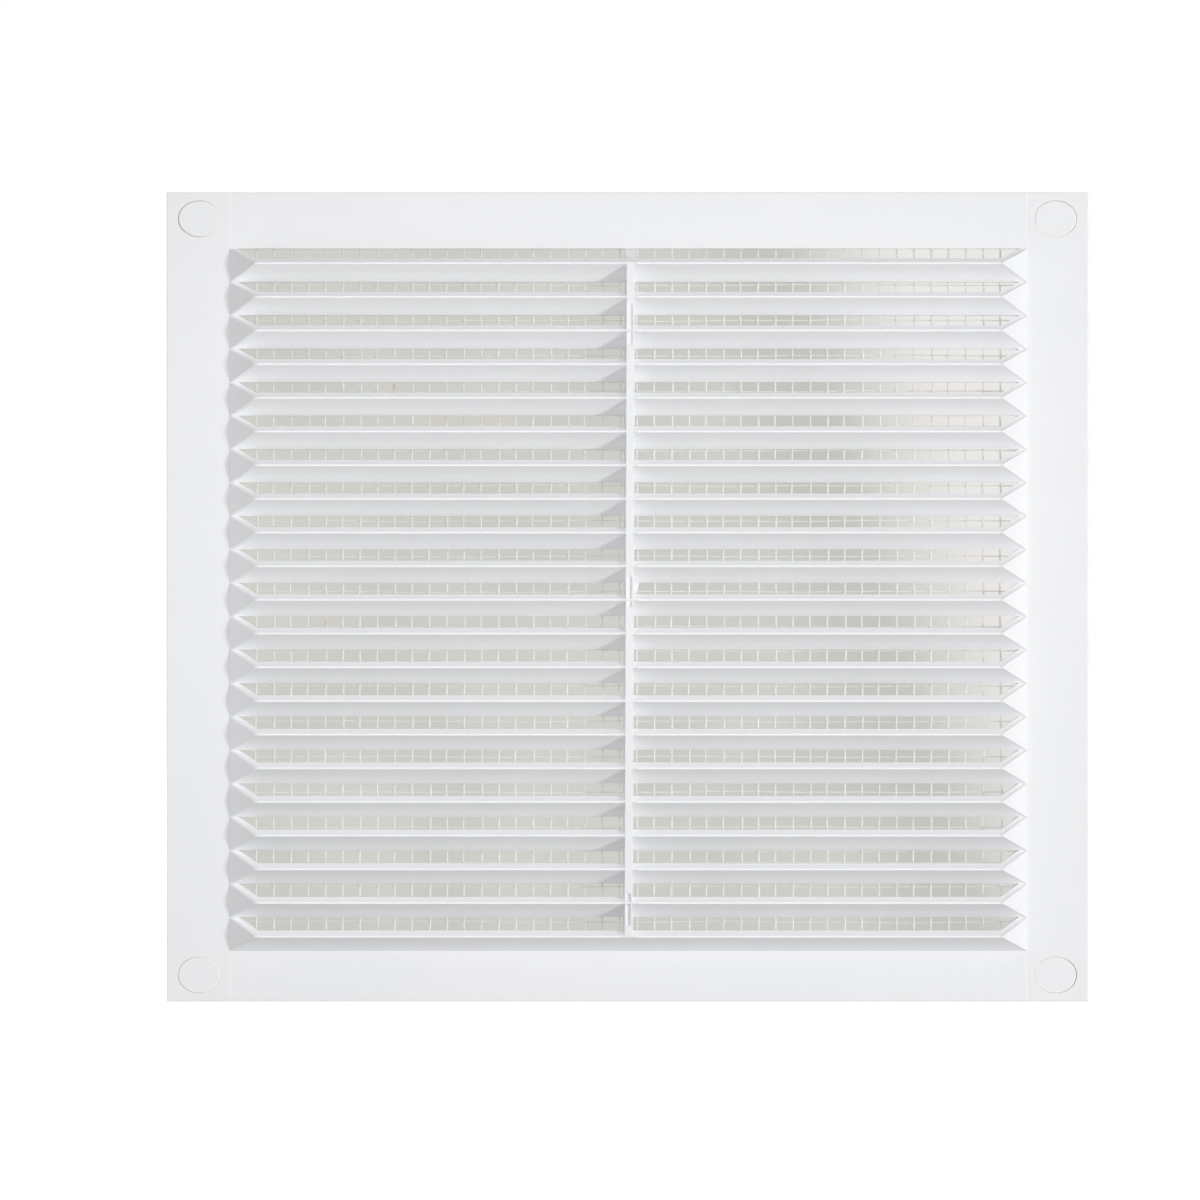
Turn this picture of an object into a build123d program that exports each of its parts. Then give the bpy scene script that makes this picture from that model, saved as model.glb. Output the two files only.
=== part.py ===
"""Louvred wall vent: a white moulded cover with a bank of hipped louvres, a fly screen behind
it and four oval caps over its screws. Millimetres. X runs to the right, Z up, and the wall is
the plane Y = 0, so the louvres stand out towards -Y. The origin is the middle of the four
screw holes."""
import os
from math import radians, sin, sqrt, tan

from build123d import *

# Louvre bank
LOUVRES = 21  # louvres, one above the other
PITCH = 9.5  # height of one louvre, from valley to valley
FACE_ANGLE = 30.0  # slope of a louvre's two faces, from straight ahead
END_ANGLE = 45.0  # slope of the end facets, from straight ahead
BANK_W = 226.8  # width of the bank where it leaves the plate
WALL = 1.3  # wall of every louvre
LIP = 1.55  # height of the lip that stands up from a ridge
SLOT_LAND = 2.6  # land between an end facet and the end of the slot
SLOT_OVERCUT = 0.15  # how far a slot trims the foot of the louvre above
RIDGE_R = 0.35  # rounding of the ridges

# Plate
MARGIN_LEFT = 17.9
MARGIN_RIGHT = 17.3
MARGIN_TOP = 16.1
MARGIN_BOTTOM = 14.4
DEPTH = 5.0  # from the wall to the front of the plate
PLATE_T = 2.0  # front wall of the plate
RIM_T = 2.0  # return rim round the back
EDGE_R = 0.3  # front edge of the plate

# Upright rib through the louvres
RIB_SHIFT = 0.15  # the rib stands this far right of the middle of the bank
RIB_LEAN = 0.18  # degrees, its top to the right
RIB_FRONT_W = 2.0
RIB_BACK_W = 3.0
MARK_W = 1.4  # sunk gate marks in the front of the rib
MARKS = [  # number of the ridge, rise above it, length and depth
    (2, 1.65, 11.6, 0.35),
    (10, 2.3, 8.9, 0.45),
    (19, -1.85, 9.2, 0.8),
]
CORNER_RIDGE = 10  # number of the slot with a small filled corner at the right of the rib
CORNER_W = 3.1  # from the middle of the rib
CORNER_T = 1.2

# Screw points
HOLE_INSET_X = 9.25  # screw axis from the side of the plate
HOLE_INSET_Z = 7.5  # screw axis from the top or bottom of the plate
HOLE_D = 4.5
RECESS_W = 12.1  # oval recess for screw head and cap
RECESS_H = 10.4
RECESS_FLOOR = 1.4
BOSS_WALL = 1.5

# Screw caps
CAP_CLEARANCE = 0.07  # all round, between cap and recess
CAP_TOP_T = 1.0
CAP_WALL = 0.9
CAP_FLOOR_GAP = 0.5  # room under the skirt of a cap that is level with the plate
CAP_EDGE = 0.25  # flat on the front edge of a cap

# Fly screen
STRAND_W = 0.5
STRAND_T = 0.45  # thickness of one layer of strands
STRAND_GAP = 0.05  # between the upright and the level strands
STRAND_PITCH_X = 4.93
STRAND_PITCH_Z = 3.36
STRAND_DROP = 1.05  # level strands below the middle of the bank
HEM_W = 4.0  # sealed border of the net
HEM_SETBACK = 0.5  # border starts this far outside the bank
BOSS_CLEARANCE = 1.2  # net corner to screw boss

# Hooked tabs that hold the net by its border
TAB_W = 7.0
TAB_T = 1.4
TAB_REACH = 1.6  # how far a hook reaches over the border
TAB_HOOK_T = 0.9
TAB_CLEARANCE = 0.2  # from the edge of the net
TAB_GAP = 0.05  # between net and hook
TAB_ROOT = 0.5  # a tab runs this far into the plate

# Worked out from the sizes above
BANK_H = LOUVRES * PITCH
PLATE_W = BANK_W + MARGIN_LEFT + MARGIN_RIGHT
PLATE_H = BANK_H + MARGIN_TOP + MARGIN_BOTTOM
BANK_X = (MARGIN_LEFT - MARGIN_RIGHT) / 2
BANK_Z = (MARGIN_BOTTOM - MARGIN_TOP) / 2
SLOPE = tan(radians(FACE_ANGLE))
END_SLOPE = tan(radians(END_ANGLE))
RIDGE = PITCH / 2 / SLOPE  # sharp ridge in front of the plate
RIDGE_FRONT = RIDGE - RIDGE_R * (1 / sin(radians(FACE_ANGLE)) - 1)  # rounded ridge
WALL_BACK = WALL / sin(radians(FACE_ANGLE))  # louvre wall measured straight back
WALL_SIDE = WALL / sin(radians(90 - END_ANGLE))  # end wall measured sideways
RIDGE_Z = [BANK_Z + BANK_H / 2 - PITCH * (i + 0.5) for i in range(LOUVRES)]
SPACING_X = PLATE_W - 2 * HOLE_INSET_X
SPACING_Z = PLATE_H - 2 * HOLE_INSET_Z
RECESS_DEPTH = DEPTH - RECESS_FLOOR
BOSS_RX = RECESS_W / 2 + BOSS_WALL
BOSS_RZ = RECESS_H / 2 + BOSS_WALL
BACK = DEPTH - PLATE_T  # back of the plate, from the wall
SCREEN_T = 2 * STRAND_T + STRAND_GAP
WINDOW_W = BANK_W + 2 * HEM_SETBACK
WINDOW_H = BANK_H + 2 * HEM_SETBACK
NET_W = WINDOW_W + 2 * HEM_W
NET_H = WINDOW_H + 2 * HEM_W
STRANDS_X = int(WINDOW_W / STRAND_PITCH_X)
STRANDS_Z = int(WINDOW_H / STRAND_PITCH_Z)
TABS = [(k * NET_W * 0.35, s * NET_H / 2, -90 * s) for k in (-1, 0, 1) for s in (-1, 1)]
TABS += [(s * NET_W / 2, k * NET_H * 0.23, 90 - 90 * s) for k in (-1, 1) for s in (-1, 1)]

# The net's corners are cut off on a slant that clears the nearest screw boss
CORNER_IN_X = min(MARGIN_LEFT, MARGIN_RIGHT) - HEM_SETBACK - HEM_W - HOLE_INSET_X
CORNER_IN_Z = min(MARGIN_TOP, MARGIN_BOTTOM) - HEM_SETBACK - HEM_W - HOLE_INSET_Z
BOSS_REACH = sqrt(BOSS_RX**2 + BOSS_RZ**2) + BOSS_CLEARANCE * sqrt(2)
CORNER_CUT = max(1.0, BOSS_REACH - CORNER_IN_X - CORNER_IN_Z)

# The bank's outer form, the plate's front at Y = -DEPTH: a row of sloping faces like saw teeth,
# with rounded ridges, cut to a hip at both ends and let into the plate
TOP = BANK_Z + BANK_H / 2
VALLEY_Z = [TOP - PITCH * i for i in range(LOUVRES + 1)]
LET_IN = PLATE_T / 2
with BuildPart() as bank:
    with BuildSketch(Plane.YZ) as teeth:
        with BuildLine():
            zigzag = [(LET_IN - DEPTH, TOP), (-DEPTH, TOP)]
            for ridge_z, valley_z in zip(RIDGE_Z, VALLEY_Z[1:]):
                zigzag += [(-DEPTH - RIDGE, ridge_z), (-DEPTH, valley_z)]
            zigzag += [(LET_IN - DEPTH, VALLEY_Z[-1])]
            Polyline(*zigzag, close=True)
        make_face()
        fillet(teeth.vertices().group_by(Axis.X)[0], RIDGE_R)
    extrude(amount=BANK_W, both=True)
    with BuildSketch(Plane.XY) as hips:
        with BuildLine():
            Polyline(
                (-BANK_W / 2, LET_IN - DEPTH),
                (-BANK_W / 2, -DEPTH),
                (-BANK_W / 2 + RIDGE * END_SLOPE, -DEPTH - RIDGE),
                (BANK_W / 2 - RIDGE * END_SLOPE, -DEPTH - RIDGE),
                (BANK_W / 2, -DEPTH),
                (BANK_W / 2, LET_IN - DEPTH),
                close=True,
            )
        make_face()
    extrude(amount=PLATE_H, both=True, mode=Mode.INTERSECT)

# The hollow behind the bank, one wall in from every outer face and open to the back
BEHIND = 1.0  # the cut starts clear of the plate's back
HOLLOW_RUN = (RIDGE - WALL_BACK + PLATE_T) * SLOPE
with BuildPart() as hollow:
    with BuildSketch(Plane.YZ) as inner_teeth:
        with BuildLine():
            zigzag = [(BEHIND - BACK, RIDGE_Z[0] + HOLLOW_RUN)]
            for ridge_z in RIDGE_Z:
                zigzag += [(-BACK, ridge_z + HOLLOW_RUN)]
                zigzag += [(WALL_BACK - RIDGE - DEPTH, ridge_z)]
                zigzag += [(-BACK, ridge_z - HOLLOW_RUN)]
            zigzag += [(BEHIND - BACK, RIDGE_Z[-1] - HOLLOW_RUN)]
            Polyline(*zigzag, close=True)
        make_face()
    extrude(amount=BANK_W, both=True)
    with BuildSketch(Plane.XY) as inner_hips:
        with BuildLine():
            Polyline(
                (-BANK_W / 2 + WALL_SIDE - (PLATE_T + BEHIND) * END_SLOPE, BEHIND - BACK),
                (-BANK_W / 2 + WALL_SIDE + RIDGE * END_SLOPE, -DEPTH - RIDGE),
                (BANK_W / 2 - WALL_SIDE - RIDGE * END_SLOPE, -DEPTH - RIDGE),
                (BANK_W / 2 - WALL_SIDE + (PLATE_T + BEHIND) * END_SLOPE, BEHIND - BACK),
                close=True,
            )
        make_face()
    extrude(amount=PLATE_H, both=True, mode=Mode.INTERSECT)

# One slot, its ridge at the origin, through a louvre's upper face: it leaves the lip along the
# ridge, cut square to the face, and a land along each end facet
LIP_BACK = LIP / SLOPE - RIDGE  # Y of the lip's top edge
SLOT_TOP = PITCH / 2 + SLOT_OVERCUT
LAND_LOW = RIDGE * END_SLOPE + SLOT_LAND
LAND_HIGH = SLOT_LAND - SLOT_OVERCUT * RIDGE * END_SLOPE / (PITCH / 2)
with BuildPart() as slot:
    with BuildSketch(Plane.YZ) as slot_side:
        with BuildLine():
            Polyline(
                (LIP_BACK, LIP),
                (LIP_BACK + 1.5 * WALL * SLOPE, LIP - 1.5 * WALL),
                (PLATE_T + BEHIND, LIP - 1.5 * WALL),
                (PLATE_T + BEHIND, SLOT_TOP),
                (-RIDGE / 2, SLOT_TOP),
                close=True,
            )
        make_face()
    extrude(amount=BANK_W, both=True)
    with BuildSketch(Plane.XZ.offset(RIDGE)) as slot_front:
        with BuildLine():
            Polyline(
                (-BANK_W / 2 + LAND_LOW, 0),
                (BANK_W / 2 - LAND_LOW, 0),
                (BANK_W / 2 - LAND_HIGH, SLOT_TOP),
                (-BANK_W / 2 + LAND_HIGH, SLOT_TOP),
                close=True,
            )
        make_face()
    extrude(amount=-RIDGE - PLATE_T - 2 * BEHIND, mode=Mode.INTERSECT)

# The rib: a drafted web that fills the outline of the bank from the first ridge to the last
with BuildPart() as rib:
    with BuildSketch(Plane.XY.rotated((0, RIB_LEAN, 0))) as web:
        with BuildLine():
            Polyline(
                (-RIB_FRONT_W / 2, -DEPTH - RIDGE_FRONT),
                (RIB_FRONT_W / 2, -DEPTH - RIDGE_FRONT),
                (RIB_BACK_W / 2, -BACK),
                (-RIB_BACK_W / 2, -BACK),
                close=True,
            )
        make_face()
    extrude(amount=PLATE_H, both=True)
    with BuildSketch(Plane.YZ) as outline:
        with BuildLine():
            Polyline(
                (-DEPTH - RIDGE_FRONT, RIDGE_Z[0]),
                (-DEPTH - RIDGE_FRONT, RIDGE_Z[-1]),
                (-BACK, RIDGE_Z[-1] - (RIDGE + PLATE_T) * SLOPE),
                (-BACK, RIDGE_Z[0] + (RIDGE + PLATE_T) * SLOPE),
                close=True,
            )
        make_face()
    extrude(amount=RIB_BACK_W, both=True, mode=Mode.INTERSECT)
    for ridge, rise, length, depth in MARKS:
        mark_z = RIDGE_Z[min(round(ridge), LOUVRES - 1)] + rise
        with BuildSketch(Plane.XZ.offset(DEPTH + RIDGE_FRONT)):
            with Locations((mark_z * tan(radians(RIB_LEAN)), mark_z)):
                RectangleRounded(MARK_W, length, MARK_W * 0.3)
        extrude(amount=-depth, mode=Mode.SUBTRACT)

# A tab, the plate's back at Y = 0 and the edge of the net at X = 0, its hook bevelled so that
# the net slides under it
HOOK_LOW = SCREEN_T + TAB_GAP
HOOK_HIGH = HOOK_LOW + TAB_HOOK_T
with BuildPart() as tab:
    with BuildSketch(Plane.XY) as tab_side:
        with BuildLine():
            Polyline(
                (TAB_CLEARANCE, -TAB_ROOT),
                (TAB_CLEARANCE + TAB_T, -TAB_ROOT),
                (TAB_CLEARANCE + TAB_T, HOOK_HIGH),
                (-TAB_REACH * 0.4, HOOK_HIGH),
                (-TAB_REACH, HOOK_LOW + TAB_HOOK_T * 0.3),
                (-TAB_REACH, HOOK_LOW),
                (TAB_CLEARANCE, HOOK_LOW),
                close=True,
            )
        make_face()
    extrude(amount=TAB_W / 2, both=True)

with BuildPart() as louvre_body:
    # Plate with its return rim, and the bosses that reach back to the wall
    with BuildSketch(Plane.XZ):
        Rectangle(PLATE_W, PLATE_H)
    extrude(amount=DEPTH)
    fillet(louvre_body.faces().sort_by(Axis.Y)[0].edges(), EDGE_R)
    with BuildSketch(Plane.XZ):
        Rectangle(PLATE_W - 2 * RIM_T, PLATE_H - 2 * RIM_T)
    extrude(amount=BACK, mode=Mode.SUBTRACT)
    with BuildSketch(Plane.XZ):
        with GridLocations(SPACING_X, SPACING_Z, 2, 2):
            Ellipse(BOSS_RX, BOSS_RZ)
        Rectangle(PLATE_W - RIM_T, PLATE_H - RIM_T, mode=Mode.INTERSECT)
    extrude(amount=DEPTH - PLATE_T / 2)
    # Louvre bank, hollowed from behind, and its slots
    with Locations((BANK_X, 0, 0)):
        add(bank.part)
        add(hollow.part, mode=Mode.SUBTRACT)
    with Locations(*[(BANK_X, -DEPTH, z) for z in RIDGE_Z]):
        add(slot.part, mode=Mode.SUBTRACT)
    with Locations((BANK_X + RIB_SHIFT, 0, 0)):
        add(rib.part)
    # Filled corner of one slot
    corner_z = RIDGE_Z[min(round(CORNER_RIDGE), LOUVRES - 1)]
    with BuildSketch(Plane.XZ.offset(BACK)):
        with BuildLine():
            Polyline(
                (BANK_X + RIB_SHIFT, corner_z + LIP * 0.9),
                (BANK_X + RIB_SHIFT + CORNER_W * 0.58, corner_z + LIP * 0.9),
                (BANK_X + RIB_SHIFT + CORNER_W, corner_z + SLOT_TOP + WALL * 0.4),
                (BANK_X + RIB_SHIFT, corner_z + SLOT_TOP + WALL * 0.4),
                close=True,
            )
        make_face()
    extrude(amount=CORNER_T)
    # Oval recess and screw hole at each corner
    with BuildSketch(Plane.XZ.offset(DEPTH)):
        with GridLocations(SPACING_X, SPACING_Z, 2, 2):
            Ellipse(RECESS_W / 2, RECESS_H / 2)
    extrude(amount=-RECESS_DEPTH, mode=Mode.SUBTRACT)
    with BuildSketch(Plane.XZ):
        with GridLocations(SPACING_X, SPACING_Z, 2, 2):
            Circle(HOLE_D / 2)
    extrude(amount=DEPTH, mode=Mode.SUBTRACT)
    # Tabs for the net
    with Locations(*[Location((BANK_X + x, -BACK, BANK_Z + z), (0, turn, 0)) for x, z, turn in TABS]):
        add(tab.part)

# Net of crossing strands, welded into a flat border with cut corners
with BuildPart() as fly_screen:
    with BuildSketch(Plane.XZ.offset(BACK)) as hem:
        with Locations((BANK_X, BANK_Z)):
            Rectangle(NET_W, NET_H)
        chamfer(hem.vertices(), CORNER_CUT)
        with Locations((BANK_X, BANK_Z)):
            Rectangle(WINDOW_W, WINDOW_H, mode=Mode.SUBTRACT)
    extrude(amount=-SCREEN_T)
    with BuildSketch(Plane.XZ.offset(BACK)):
        with Locations((BANK_X, BANK_Z)):
            with GridLocations(STRAND_PITCH_X, 1, STRANDS_X, 1):
                Rectangle(STRAND_W, WINDOW_H + 1)
    extrude(amount=-STRAND_T)
    with BuildSketch(Plane.XZ.offset(BACK - SCREEN_T)):
        with Locations((BANK_X, BANK_Z - STRAND_DROP)):
            with GridLocations(1, STRAND_PITCH_Z, 1, STRANDS_Z):
                Rectangle(WINDOW_W + 1, STRAND_W)
    extrude(amount=STRAND_T)

os.makedirs("parts", exist_ok=True)
louvre_body.part.label = "louvre_body"
export_step(louvre_body.part, "parts/louvre_body.step")
fly_screen.part.label = "fly_screen"
export_step(fly_screen.part, "parts/fly_screen.step")

# The four caps are alike: a shallow oval cup, open to the back, pressed into its recess. Each
# sits a little differently: how far it stands out, how far it is pushed to the right and up,
# and how many degrees it leans about X and about Z
CAPS = [
    ("screw_cap_top_left", -1, 1, 0.15, 0.05, 0.01, 0.0, -0.1),
    ("screw_cap_top_right", 1, 1, -0.02, -0.015, -0.01, 0.0, 0.05),
    ("screw_cap_bottom_left", -1, -1, 0.22, 0.0, -0.01, -0.5, 0.3),
    ("screw_cap_bottom_right", 1, -1, -0.15, -0.03, -0.03, 0.15, 0.15),
]
CAP_RX = RECESS_W / 2 - CAP_CLEARANCE
CAP_RZ = RECESS_H / 2 - CAP_CLEARANCE
CAP_DEPTH = RECESS_DEPTH - CAP_FLOOR_GAP
for name, side, level, proud, push_x, push_z, lean_x, lean_z in CAPS:
    middle = (side * SPACING_X / 2 + push_x, -DEPTH - proud, level * SPACING_Z / 2 + push_z)
    seat = Plane(middle, x_dir=(1, 0, 0), z_dir=(0, -1, 0)).rotated((lean_x, lean_z, 0))
    with BuildPart() as cap:
        with BuildSketch(seat):
            Ellipse(CAP_RX, CAP_RZ)
        extrude(amount=-CAP_DEPTH)
        chamfer(cap.faces().sort_by(Axis.Y)[0].edges(), CAP_EDGE)
        with BuildSketch(seat.offset(-CAP_DEPTH)):
            Ellipse(CAP_RX - CAP_WALL, CAP_RZ - CAP_WALL)
        extrude(amount=CAP_DEPTH - CAP_TOP_T, mode=Mode.SUBTRACT)
    cap.part.label = name
    export_step(cap.part, f"parts/{name}.step")
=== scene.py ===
import math
from collections import namedtuple

import bpy
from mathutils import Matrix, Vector


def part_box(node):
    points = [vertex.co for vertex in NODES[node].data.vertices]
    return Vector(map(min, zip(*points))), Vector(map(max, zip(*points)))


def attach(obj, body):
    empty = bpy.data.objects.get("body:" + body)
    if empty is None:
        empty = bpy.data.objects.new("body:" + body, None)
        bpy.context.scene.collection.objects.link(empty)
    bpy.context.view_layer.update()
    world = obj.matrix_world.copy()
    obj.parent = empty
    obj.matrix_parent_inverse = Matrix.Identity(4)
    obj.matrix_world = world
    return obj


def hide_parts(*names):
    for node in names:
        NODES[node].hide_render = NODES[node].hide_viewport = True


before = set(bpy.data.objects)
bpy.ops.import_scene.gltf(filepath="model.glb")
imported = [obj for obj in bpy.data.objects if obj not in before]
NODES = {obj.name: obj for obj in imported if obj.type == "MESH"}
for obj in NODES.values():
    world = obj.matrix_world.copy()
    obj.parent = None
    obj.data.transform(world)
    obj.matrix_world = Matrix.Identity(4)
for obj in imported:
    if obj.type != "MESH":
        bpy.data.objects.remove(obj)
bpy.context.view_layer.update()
MM = 0.001

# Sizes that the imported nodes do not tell, as in the part's source
PLATE_T = 2.0 * MM
HEM_W = 4.0 * MM  # border of the net
HEM_SETBACK = 0.5 * MM  # the border starts this far outside the louvre bank
CORNER_CUT = 5.841 * MM  # cut corners of the border
STRAND_PITCH_X = 4.93 * MM
STRAND_PITCH_Z = 3.36 * MM
STRAND_DROP = 1.05 * MM  # level strands below the middle of the bank

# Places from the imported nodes: the net lies on the back of the plate, all round the louvre bank
body_low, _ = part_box("louvre_body")
net_low, net_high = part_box("fly_screen")
NET_SIZE = net_high - net_low
NET_MIDDLE = (net_low + net_high) / 2
FRONT = net_low.y - PLATE_T  # front of the plate
BANK_X, BANK_Z = NET_MIDDLE.x, NET_MIDDLE.z
WINDOW_W, WINDOW_H = NET_SIZE.x - 2 * HEM_W, NET_SIZE.z - 2 * HEM_W
BANK_W, BANK_H = WINDOW_W - 2 * HEM_SETBACK, WINDOW_H - 2 * HEM_SETBACK

# Painted highlight along the crests of the louvres: depth in front of the plate, and room for the
# middle rib
CREST_FROM, CREST_TO = 7.5 * MM, 7.8 * MM
RIB_ROOM = 2.2 * MM

# White plastic
WHITE_DIM = (0.850, 0.857, 0.870, 1)
WHITE_PLAIN = (0.869, 0.874, 0.884, 1)
WHITE_CLOUD = (0.838, 0.845, 0.856, 1)
# painted light: a lighter white in the bank's valleys and on up-facing lips
WHITE_PAINTED_LIGHT = (0.960, 0.969, 0.986, 1)
# painted highlight along the louvre crests
WHITE_CREST_HIGHLIGHT = (0.970, 0.976, 0.986, 1)
# painted highlight on the bevels of the caps
WHITE_RIM_HIGHLIGHT = (0.985, 0.988, 0.992, 1)
WHITE_LINE = (0.97, 0.97, 0.97, 1)
GRIT = (0.42, 0.40, 0.37, 1)

# Net
NET_PALE = (0.835, 0.827, 0.797, 1)
NET_DULL = (0.77, 0.762, 0.732, 1)
NET_UPPER_LEFT = (0.63, 0.623, 0.597, 1)
# painted shade of the strands at the right
NET_PAINTED_SHADE = (0.53, 0.505, 0.47, 1)
NET_STAIN = (0.38, 0.22, 0.11, 1)

# Stains of the net: place across and up, half width and half height in mm, strength
STAINS = (
    (-66.3, 59.8, 1.6, 1.6, 0.75),
    (-46.0, 50.4, 18.0, 1.8, 0.40),
    (-86.3, -7.2, 1.7, 1.7, 0.60),
)

# Painted daylight on the card behind the net starts at this place across, further right where it is
# lower down
DAYLIGHT_X = 94 * MM
DAYLIGHT_LEAN = 0.28

# Studio: card behind the slots, floor and world
# glowing card: its grey is painted shade of the backdrop, with a painted shadow band and painted
# daylight
CARD_DARK = (0.588, 0.582, 0.550, 1)
CARD_PALE = (0.640, 0.634, 0.600, 1)
CARD_EDGE_SHADOW = (0.545, 0.537, 0.508, 1)
CARD_DAYLIGHT = (0.825, 0.812, 0.797, 1)
CARD_Y = -0.8 * MM
CARD_LAP_X, CARD_LAP_Z = 6 * MM, 4 * MM  # how far the card reaches past the bank
FLOOR_DIM = (0.50, 0.50, 0.50, 1)
FLOOR_PLAIN = (0.53, 0.53, 0.53, 1)
FLOOR_GLOW = 0.84
FLOOR_GAP = 0.3 * MM  # under the vent
FLOOR_REACH = 4.0
WORLD_GREY = (0.353, 0.354, 0.356, 1)
PURE_WHITE = (1, 1, 1, 1)

# Camera: straight at the plate, a little left of its middle
CAMERA_X, CAMERA_Z = -7.82 * MM, -0.88 * MM
CAMERA_DISTANCE = 960 * MM
VIEW_W = 341.12 * MM  # what the picture spans at the front of the plate
SENSOR_W = 36.0

# A small key at the right, on a level with the vent, and weak fills: place and aim in metres,
# diameter in metres, watts
LAMPS = {
    "key": ((1.408, -1.290, 0.0), (0, 0, 0), 0.26, 19.0),
    "near_fill": ((-0.03, -0.42, 0.08), (0, 0, 0), 0.25, 0.41),
    "left_fill": ((-0.30, -0.065, -0.014), (-0.113, -0.005, -0.014), 0.12, 0.077),
    "low_fill": ((0, -0.70, -0.50), (0, 0, 0), 0.50, 0.35),
    "back_fill": ((-0.5, 0.9, 0.7), (0, 0, 0), 0.7, 4.0),
}


class Nodes:
    """Short ways to add and join the nodes of one shader. An input named i0, i1 and so on is
    meant by its number, any other by its name."""

    def __init__(self, tree):
        self.tree = tree
        tree.nodes.clear()

    def add(self, kind, **inputs):
        node = self.tree.nodes.new(kind)
        for key, value in inputs.items():
            self.set(node, key, value)
        return node

    def set(self, node, key, value):
        numbered = key[0] == "i" and key[1:].isdigit()
        sock = node.inputs[int(key[1:]) if numbered else key]
        if isinstance(value, bpy.types.NodeSocket):
            self.tree.links.new(value, sock)
        else:
            sock.default_value = value

    def math(self, op, a, b=0.0, c=0.0):
        node = self.add("ShaderNodeMath")
        node.operation = op
        for i, v in enumerate((a, b, c)):
            self.set(node, f"i{i}", v)
        return node.outputs[0]

    def times(self, a, b):
        return self.math("MULTIPLY", a, b)

    def minus(self, a, b):
        return self.math("SUBTRACT", a, b)

    def away(self, a, b):
        """How far a is from b."""
        return self.math("ABSOLUTE", self.minus(a, b))

    def vector(self, op, a, b=(0, 0, 0)):
        node = self.add("ShaderNodeVectorMath", i0=a, i1=b)
        node.operation = op
        return node.outputs

    def ramp(self, value, low, high, out_low=0.0, out_high=1.0):
        """Smooth step from out_low at low to out_high at high."""
        node = self.add("ShaderNodeMapRange")
        node.interpolation_type = "SMOOTHSTEP"
        for i, v in enumerate((value, low, high, out_low, out_high)):
            self.set(node, f"i{i}", v)
        return node.outputs[0]

    def mix(self, factor, a, b):
        node = self.add("ShaderNodeMix")
        node.data_type = "RGBA"
        self.set(node, "i0", factor)
        self.set(node, "i6", a)
        self.set(node, "i7", b)
        return node.outputs[2]

    def noise(self, where, scale, detail=2.0, rough=0.5):
        node = self.add("ShaderNodeTexNoise", Vector=where, Scale=scale, Detail=detail)
        self.set(node, "Roughness", rough)
        return node.outputs["Fac"]

    def place(self):
        """The point on the object."""
        return self.add("ShaderNodeTexCoord").outputs["Object"]

    def split(self, vector):
        """The three numbers of a vector."""
        return self.add("ShaderNodeSeparateXYZ", Vector=vector).outputs

    def shows_backdrop(self):
        """One for the rays that show the backdrop: straight to the camera, in gloss or through
        glass."""
        ray = self.add("ShaderNodeLightPath").outputs
        mirrored = self.math("MAXIMUM", ray["Is Glossy Ray"], ray["Is Transmission Ray"])
        return self.math("MAXIMUM", ray["Is Camera Ray"], mirrored)

    def surface(self, shader):
        self.add("ShaderNodeOutputMaterial", Surface=shader.outputs[0])


def new_material(name):
    mat = bpy.data.materials.new(name)
    mat.use_nodes = True
    return mat, Nodes(mat.node_tree)


def bank_painted_light(n, colour, x, y, normal_z):
    """Painted light: a lighter white deep between the louvres and on what faces up in the bank, and a
    painted highlight along the crests. The end facets keep the plate's white."""
    depth = n.minus(FRONT, y)
    side = n.away(x, BANK_X)
    within = n.ramp(n.minus(n.minus(BANK_W / 2, side), depth), 0.4 * MM, 1.6 * MM)
    proud = n.ramp(depth, 0.02 * MM, 0.3 * MM)
    deep = n.times(n.ramp(depth, 0.0, CREST_TO, 1.0, 0.0), proud)
    lip = n.times(n.ramp(normal_z, 0.2, 0.7), proud)
    painted_light = n.times(n.math("MAXIMUM", deep, lip), within)
    # painted light: lighter towards the valleys and on up-facing lips
    colour = n.mix(painted_light, colour, WHITE_PAINTED_LIGHT)
    off_rib = n.ramp(side, RIB_ROOM, RIB_ROOM + 0.8 * MM)
    crest = n.times(n.ramp(depth, CREST_FROM, CREST_TO), off_rib)
    # painted highlight along the crests, kept off the middle rib
    return n.mix(n.times(crest, within), colour, WHITE_CREST_HIGHLIGHT)


def specks(n, place):
    """Specks of dust and grit, far apart."""
    cells = n.add("ShaderNodeTexVoronoi", Vector=place, Scale=110.0)
    dot = n.math("LESS_THAN", cells.outputs["Distance"], 0.028)
    pick = n.add("ShaderNodeSeparateColor", Color=cells.outputs["Color"])
    return n.times(dot, n.math("GREATER_THAN", pick.outputs[0], 0.86))


def tool_lines(n, x, z):
    """Faint upright lines that the two sides of the louvre tooling left on the plate, above and
    below the bank."""
    off_bank = n.math("GREATER_THAN", n.away(z, BANK_Z), BANK_H / 2 + 0.6 * MM)
    line = n.away(n.away(x, BANK_X), BANK_W / 2 - 0.2 * MM)
    return n.times(n.ramp(line, 0.12 * MM, 0.4 * MM, 1.0, 0.0), off_bank)


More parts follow.
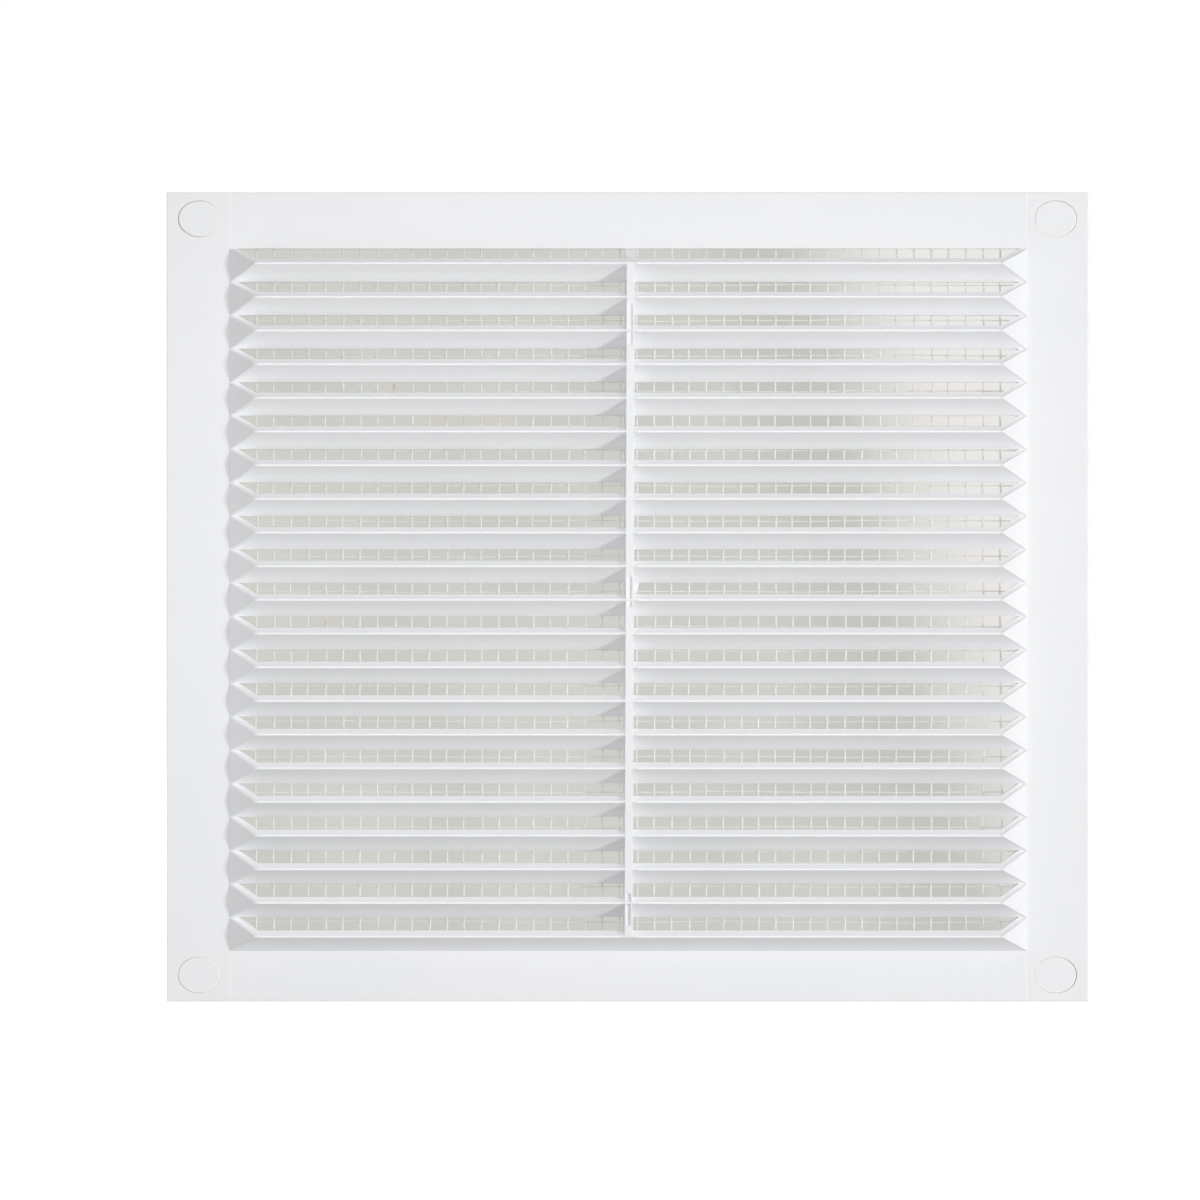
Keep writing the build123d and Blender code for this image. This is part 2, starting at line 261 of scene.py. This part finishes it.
def white_plastic(name, painted_rim_highlight=False):
    """Satin white moulding: fine mould texture, slow colour drift, rare specks and tool lines.
    A painted rim highlight lightens a cap's bevel, where it turns away from the front."""
    mat, n = new_material(name)
    place = n.place()
    x, y, z = n.split(place)
    _, normal_y, normal_z = n.split(n.add("ShaderNodeNewGeometry").outputs["Normal"])
    drift = n.ramp(n.noise(place, 14.0), 0.3, 0.7)
    cloud = n.ramp(n.noise(place, 90.0, 3.0), 0.35, 0.75, 0.0, 0.35)
    colour = n.mix(cloud, n.mix(drift, WHITE_DIM, WHITE_PLAIN), WHITE_CLOUD)
    colour = bank_painted_light(n, colour, x, y, normal_z)
    if painted_rim_highlight:
        # painted highlight on the bevel, where the surface turns away from the front
        colour = n.mix(n.ramp(normal_y, -0.95, -0.80), colour, WHITE_RIM_HIGHLIGHT)
    colour = n.mix(n.times(specks(n, place), 0.45), colour, GRIT)
    line = tool_lines(n, x, z)
    colour = n.mix(n.times(line, 0.35), colour, WHITE_LINE)
    grain = n.times(n.noise(place, 2600.0, 3.0, 0.6), 0.10)
    waves = n.times(n.noise(place, 160.0), 0.55)
    height = n.minus(n.math("ADD", grain, waves), n.times(line, 0.25))
    bump = n.add("ShaderNodeBump", Height=height, Strength=0.16, Distance=0.2 * MM)
    gloss = n.ramp(n.noise(place, 220.0), 0.3, 0.7, 0.42, 0.52)
    shader = n.add("ShaderNodeBsdfPrincipled", Roughness=gloss, Normal=bump.outputs[0])
    n.set(shader, "Base Color", colour)
    shader.inputs["IOR"].default_value = 1.49
    shader.inputs["Specular IOR Level"].default_value = 0.4
    n.surface(shader)
    return mat


def net_plastic():
    """Milky extruded strands that let light through, a little dusty, with a few brown stains and
    painted shade at the right.
    """
    mat, n = new_material("net_plastic")
    place = n.place()
    x, _, z = n.split(place)
    dust = n.noise(place, 350.0, 4.0, 0.6)
    colour = n.mix(n.ramp(dust, 0.35, 0.75), NET_PALE, NET_DULL)
    # darker towards the upper left
    left = n.ramp(x, -60 * MM, 30 * MM, 0.8, 0.0)
    upper = n.ramp(z, -80 * MM, 80 * MM, 0.15, 1.0)
    colour = n.mix(n.times(left, upper), colour, NET_UPPER_LEFT)
    # painted shade: the strands at the right darker and browner, in front of the card's painted
    # daylight
    slant = n.math("MULTIPLY_ADD", z, DAYLIGHT_LEAN, x)
    right = n.ramp(slant, DAYLIGHT_X - 18 * MM, DAYLIGHT_X + 14 * MM, 0.0, 0.85)
    colour = n.mix(right, colour, NET_PAINTED_SHADE)
    for across, up, wide, high, strength in STAINS:
        apart = n.vector("SUBTRACT", place, (across * MM, net_low.y, up * MM))[0]
        spread = n.vector("MULTIPLY", apart, (1 / (wide * MM), 0, 1 / (high * MM)))[0]
        spot = n.ramp(n.vector("LENGTH", spread)["Value"], 0.3, 1.0, strength, 0.0)
        colour = n.mix(spot, colour, NET_STAIN)
    grain = n.noise(place, 1800.0, 3.0)
    bump = n.add("ShaderNodeBump", Height=grain, Strength=0.2, Distance=0.1 * MM)
    shader = n.add("ShaderNodeBsdfPrincipled", Normal=bump.outputs[0])
    n.set(shader, "Base Color", colour)
    n.set(shader, "Roughness", n.ramp(dust, 0.3, 0.7, 0.42, 0.6))
    shader.inputs["IOR"].default_value = 1.5
    shader.inputs["Subsurface Weight"].default_value = 1.0
    shader.inputs["Subsurface Radius"].default_value = (1.0, 1.0, 0.95)
    shader.inputs["Subsurface Scale"].default_value = 1.6 * MM
    n.surface(shader)
    return mat


def dress(obj, mat):
    obj.data.materials.clear()
    obj.data.materials.append(mat)


WHITE = white_plastic("white_moulded_plastic")
FLUSH_CAP = white_plastic("white_cap_plastic", painted_rim_highlight=True)
NET = net_plastic()
LOOKS = {"fly_screen": NET}
for corner in ("top_right", "bottom_left", "bottom_right"):
    LOOKS["screw_cap_" + corner] = FLUSH_CAP
for name, node in NODES.items():
    dress(node, LOOKS.get(name, WHITE))

# A layer of strands runs along one direction and is spaced aside. The half width changes from
# strand to strand by wide_turn. A lean is a slope, its turn from strand to strand and its start.
# A wave is a height, its turn from point to point and its turn from strand to strand.
Layer = namedtuple(
    "Layer",
    "middle along aside reach pitch count steps half_wide wide_turn half_deep leans waves",
)
STRAND_LAP = 1.0 * MM  # the strands run this far into the border
WIDTH_CHANGE = 0.03 * MM
UPRIGHT = Layer(
    middle=Vector((BANK_X, net_low.y + 0.22 * MM, BANK_Z)),
    along=Vector((0, 0, 1)),
    aside=Vector((1, 0, 0)),
    reach=WINDOW_H / 2 + STRAND_LAP,
    pitch=STRAND_PITCH_X,
    count=int(WINDOW_W / STRAND_PITCH_X),
    steps=48,
    half_wide=0.27 * MM,
    wide_turn=1.3,
    half_deep=0.22 * MM,
    leans=((0.0022, 2.1, 0.0), (0.0016, 0.37, 0.0)),
    waves=((0.16 * MM, 0.23, 1.7), (0.10 * MM, 0.61, 2.9)),
)
LEVEL = Layer(
    middle=Vector((BANK_X, net_high.y - 0.24 * MM, BANK_Z - STRAND_DROP)),
    along=Vector((1, 0, 0)),
    aside=Vector((0, 0, 1)),
    reach=WINDOW_W / 2 + STRAND_LAP,
    pitch=STRAND_PITCH_Z,
    count=int(WINDOW_H / STRAND_PITCH_Z),
    steps=56,
    half_wide=0.20 * MM,
    wide_turn=2.2,
    half_deep=0.23 * MM,
    leans=((0.0016, 1.9, 1.0),),
    waves=((0.13 * MM, 0.27, 2.3), (0.08 * MM, 0.71, 1.1)),
)


def add_object(name, data):
    obj = bpy.data.objects.new(name, data)
    bpy.context.scene.collection.objects.link(obj)
    return obj


def add_strand(verts, faces, points, half_wide, half_deep, aside):
    """Adds a closed tube with an oval section along points; aside is its in-plane direction."""
    ring = 8
    start = len(verts)
    for p in points:
        for k in range(ring):
            a = 2 * math.pi * (k + 0.5) / ring
            off = aside * (half_wide * math.cos(a)) + Vector((0, half_deep * math.sin(a), 0))
            verts.append(p + off)
    for i in range(len(points) - 1):
        for k in range(ring):
            a = start + i * ring + k
            b = start + i * ring + (k + 1) % ring
            faces.append((a, b, b + ring, a + ring))
    faces.append(tuple(start + k for k in reversed(range(ring))))
    last = start + (len(points) - 1) * ring
    faces.append(tuple(last + k for k in range(ring)))


def add_layer(verts, faces, layer):
    """Adds a layer of strands, fixed at both ends, slightly leaning and wavy between them."""
    for i in range(layer.count):
        from_middle = (i - (layer.count - 1) / 2) * layer.pitch
        lean = sum(slope * math.sin(i * turn + start) for slope, turn, start in layer.leans)
        points = []
        for k in range(layer.steps + 1):
            t = 2 * k / layer.steps - 1
            along = layer.reach * t
            sway = sum(high * math.sin(turn * k + i * phase) for high, turn, phase in layer.waves)
            aside = from_middle + (1 - t ** 4) * (sway + lean * along)
            points.append(layer.middle + layer.along * along + layer.aside * aside)
        half_wide = layer.half_wide + WIDTH_CHANGE * math.sin(i * layer.wide_turn)
        add_strand(verts, faces, points, half_wide, layer.half_deep, layer.aside)


def net_strands():
    """Upright strands in front, level ones behind."""
    verts, faces = [], []
    for layer in (UPRIGHT, LEVEL):
        add_layer(verts, faces, layer)
    mesh = bpy.data.meshes.new("fly_screen_net")
    mesh.from_pydata(verts, [], faces)
    mesh.polygons.foreach_set("use_smooth", [True] * len(mesh.polygons))
    return add_object("fly_screen_net", mesh)


def net_border():
    """Flat welded border with cut corners: outline and window as one flat curve, turned into
    the plane of the plate."""
    curve = bpy.data.curves.new("net_border", "CURVE")
    curve.dimensions = "2D"
    curve.fill_mode = "BOTH"
    curve.extrude = NET_SIZE.y / 2
    hx, hz = NET_SIZE.x / 2, NET_SIZE.z / 2
    cx, cz = hx - CORNER_CUT, hz - CORNER_CUT
    wx, wz = WINDOW_W / 2, WINDOW_H / 2
    outline = [(-cx, -hz), (cx, -hz), (hx, -cz), (hx, cz), (cx, hz), (-cx, hz), (-hx, cz), (-hx, -cz)]
    window = [(-wx, -wz), (-wx, wz), (wx, wz), (wx, -wz)]
    for loop in (outline, window):
        spline = curve.splines.new("POLY")
        spline.points.add(len(loop) - 1)
        for p, (u, v) in zip(spline.points, loop):
            p.co = (u, v, 0, 1)
        spline.use_cyclic_u = True
    drawn = add_object("net_border", curve)
    drawn.rotation_euler = (math.pi / 2, 0, 0)
    drawn.location = NET_MIDDLE
    bpy.context.view_layer.update()
    shape = drawn.evaluated_get(bpy.context.evaluated_depsgraph_get())
    mesh = bpy.data.meshes.new_from_object(shape)
    mesh.transform(drawn.matrix_world)
    bpy.data.objects.remove(drawn)
    return add_object("net_hem", mesh)


def build_net():
    """The strands and the border that they run into, as one piece."""
    strands, border = net_strands(), net_border()
    bpy.ops.object.select_all(action="DESELECT")
    for obj in (strands, border):
        dress(obj, NET)
        obj.select_set(True)
    bpy.context.view_layer.objects.active = strands
    bpy.ops.object.join()
    return strands


net = build_net()
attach(net, "root")
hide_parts("fly_screen")


def add_camera():
    data = bpy.data.cameras.new("camera")
    data.sensor_width = SENSOR_W
    data.lens = SENSOR_W * CAMERA_DISTANCE / VIEW_W
    camera = add_object("camera", data)
    camera.location = (CAMERA_X, FRONT - CAMERA_DISTANCE, CAMERA_Z)
    camera.rotation_euler = (math.pi / 2, 0, 0)
    bpy.context.scene.camera = camera


def add_lamp(name, place, aim, size, watts):
    data = bpy.data.lights.new(name, "AREA")
    data.shape = "DISK"
    data.size = size
    data.energy = watts
    lamp = add_object(name, data)
    lamp.location = place
    lamp.rotation_euler = (Vector(aim) - Vector(place)).to_track_quat("-Z", "Y").to_euler()
    lamp.visible_camera = False


def add_world():
    """Even studio light, plain white where the camera sees past everything."""
    world = bpy.data.worlds.new("studio")
    bpy.context.scene.world = world
    world.use_nodes = True
    n = Nodes(world.node_tree)
    tone = n.mix(n.shows_backdrop(), WORLD_GREY, PURE_WHITE)
    glow = n.add("ShaderNodeBackground", Color=tone, Strength=1.0)
    n.add("ShaderNodeOutputWorld", Surface=glow.outputs[0])


def flat_panel(name, corners, mat):
    mesh = bpy.data.meshes.new(name)
    mesh.from_pydata(corners, [], [(0, 1, 2, 3)])
    obj = add_object(name, mesh)
    mesh.materials.append(mat)


def add_backing():
    """Glowing card behind the slots, standing for the shaded backdrop seen through them. It shows
    only from the front, warm grey with painted daylight from the right and a painted shadow band left
    of it, so the back of the vent stays open to view."""
    mat, n = new_material("backing_card")
    place = n.place()
    x, _, z = n.split(place)
    along = n.minus(x, n.math("MULTIPLY_ADD", z, -DAYLIGHT_LEAN, DAYLIGHT_X))
    lit = n.ramp(along, -22 * MM, 16 * MM)
    edge_shadow = n.times(n.ramp(along, -60 * MM, -30 * MM), n.ramp(along, -26 * MM, -8 * MM, 1.0, 0.0))
    cloud = n.ramp(n.noise(place, 24.0, 1.0), 0.3, 0.7)
    tone = n.mix(cloud, CARD_DARK, CARD_PALE)
    # painted shadow band just left of the painted daylight
    tone = n.mix(n.times(edge_shadow, 0.8), tone, CARD_EDGE_SHADOW)
    tone = n.mix(lit, tone, CARD_DAYLIGHT)
    glow = n.add("ShaderNodeEmission", Color=tone, Strength=1.0)
    clear = n.add("ShaderNodeBsdfTransparent")
    behind = n.add("ShaderNodeNewGeometry").outputs["Backfacing"]
    n.surface(n.add("ShaderNodeMixShader", i0=behind, i1=glow.outputs[0], i2=clear.outputs[0]))
    hx, hz = BANK_W / 2 + CARD_LAP_X, BANK_H / 2 + CARD_LAP_Z
    y, low, top = CARD_Y, BANK_Z - hz, BANK_Z + hz
    flat_panel("backing_card", [(-hx, y, low), (hx, y, low), (hx, y, top), (-hx, y, top)], mat)


def add_floor():
    """White floor under the vent. It keeps the vent's shadow for the camera, and lets the soft
    light of the studio through from below."""
    mat, n = new_material("studio_floor")
    tone = n.mix(n.ramp(n.noise(n.place(), 3.0), 0.3, 0.7), FLOOR_DIM, FLOOR_PLAIN)
    matt = n.add("ShaderNodeBsdfDiffuse", Color=tone)
    lift = n.add("ShaderNodeEmission", Color=PURE_WHITE, Strength=FLOOR_GLOW)
    both = n.add("ShaderNodeAddShader", i0=matt.outputs[0], i1=lift.outputs[0])
    clear = n.add("ShaderNodeBsdfTransparent")
    seen = n.shows_backdrop()
    n.surface(n.add("ShaderNodeMixShader", i0=seen, i1=clear.outputs[0], i2=both.outputs[0]))
    z, far = body_low.z - FLOOR_GAP, FLOOR_REACH
    flat_panel("studio_floor", [(-far, -far, z), (far, -far, z), (far, far, z), (-far, far, z)], mat)


add_camera()
for name, lamp in LAMPS.items():
    add_lamp(name, *lamp)
add_world()
add_backing()
add_floor()

scene = bpy.context.scene
scene.view_settings.view_transform = "Standard"
